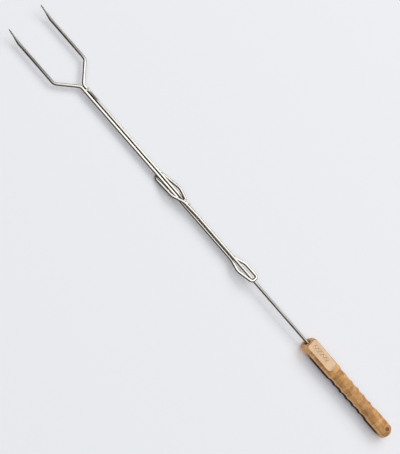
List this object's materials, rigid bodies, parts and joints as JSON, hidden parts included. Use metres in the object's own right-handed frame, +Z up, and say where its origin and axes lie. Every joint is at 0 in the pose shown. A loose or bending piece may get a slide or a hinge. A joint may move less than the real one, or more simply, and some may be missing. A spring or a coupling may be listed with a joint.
{
  "type": "marshmallow roasting fork",
  "caption": "Extending campfire roasting fork: a two-tined wire fork that slides along a steel rod with a turned wooden handle.",
  "frame": {"origin": "under the middle of the fork's length, on the surface that the handle rests on; the front guide eye is 0.9 mm above it", "axes": "+X from the tines towards the handle, +Y across the tines, +Z up; the slide runs along X"},
  "size_m": [0.6345, 0.0546, 0.0204],
  "materials": {
    "plated_steel": "bright nickel-plated steel wire",
    "rod_steel": "bright drawn steel wire, a little darker than the fork",
    "weld_metal": "plated over, slightly rough weld metal",
    "adhesive": "cured epoxy adhesive",
    "handle_wood": "turned hardwood under a clear golden lacquer, bare and paler on the label flat"
  },
  "bodies": {
    "handle_section": {"handle": "handle_wood", "handle_adhesive": "adhesive", "handle_rod": "rod_steel", "rod_eye_weld": "weld_metal"},
    "fork_section": {"fork_wire": "plated_steel", "fork_neck_weld": "weld_metal", "fork_stop_weld": "weld_metal"}
  },
  "joints": [
    {"name": "fork_slide", "type": "slide", "parent": "handle_section", "child": "fork_section", "axis": [-1, 0, 0], "range_m": [-0.0945, 0.0055]}
  ]
}
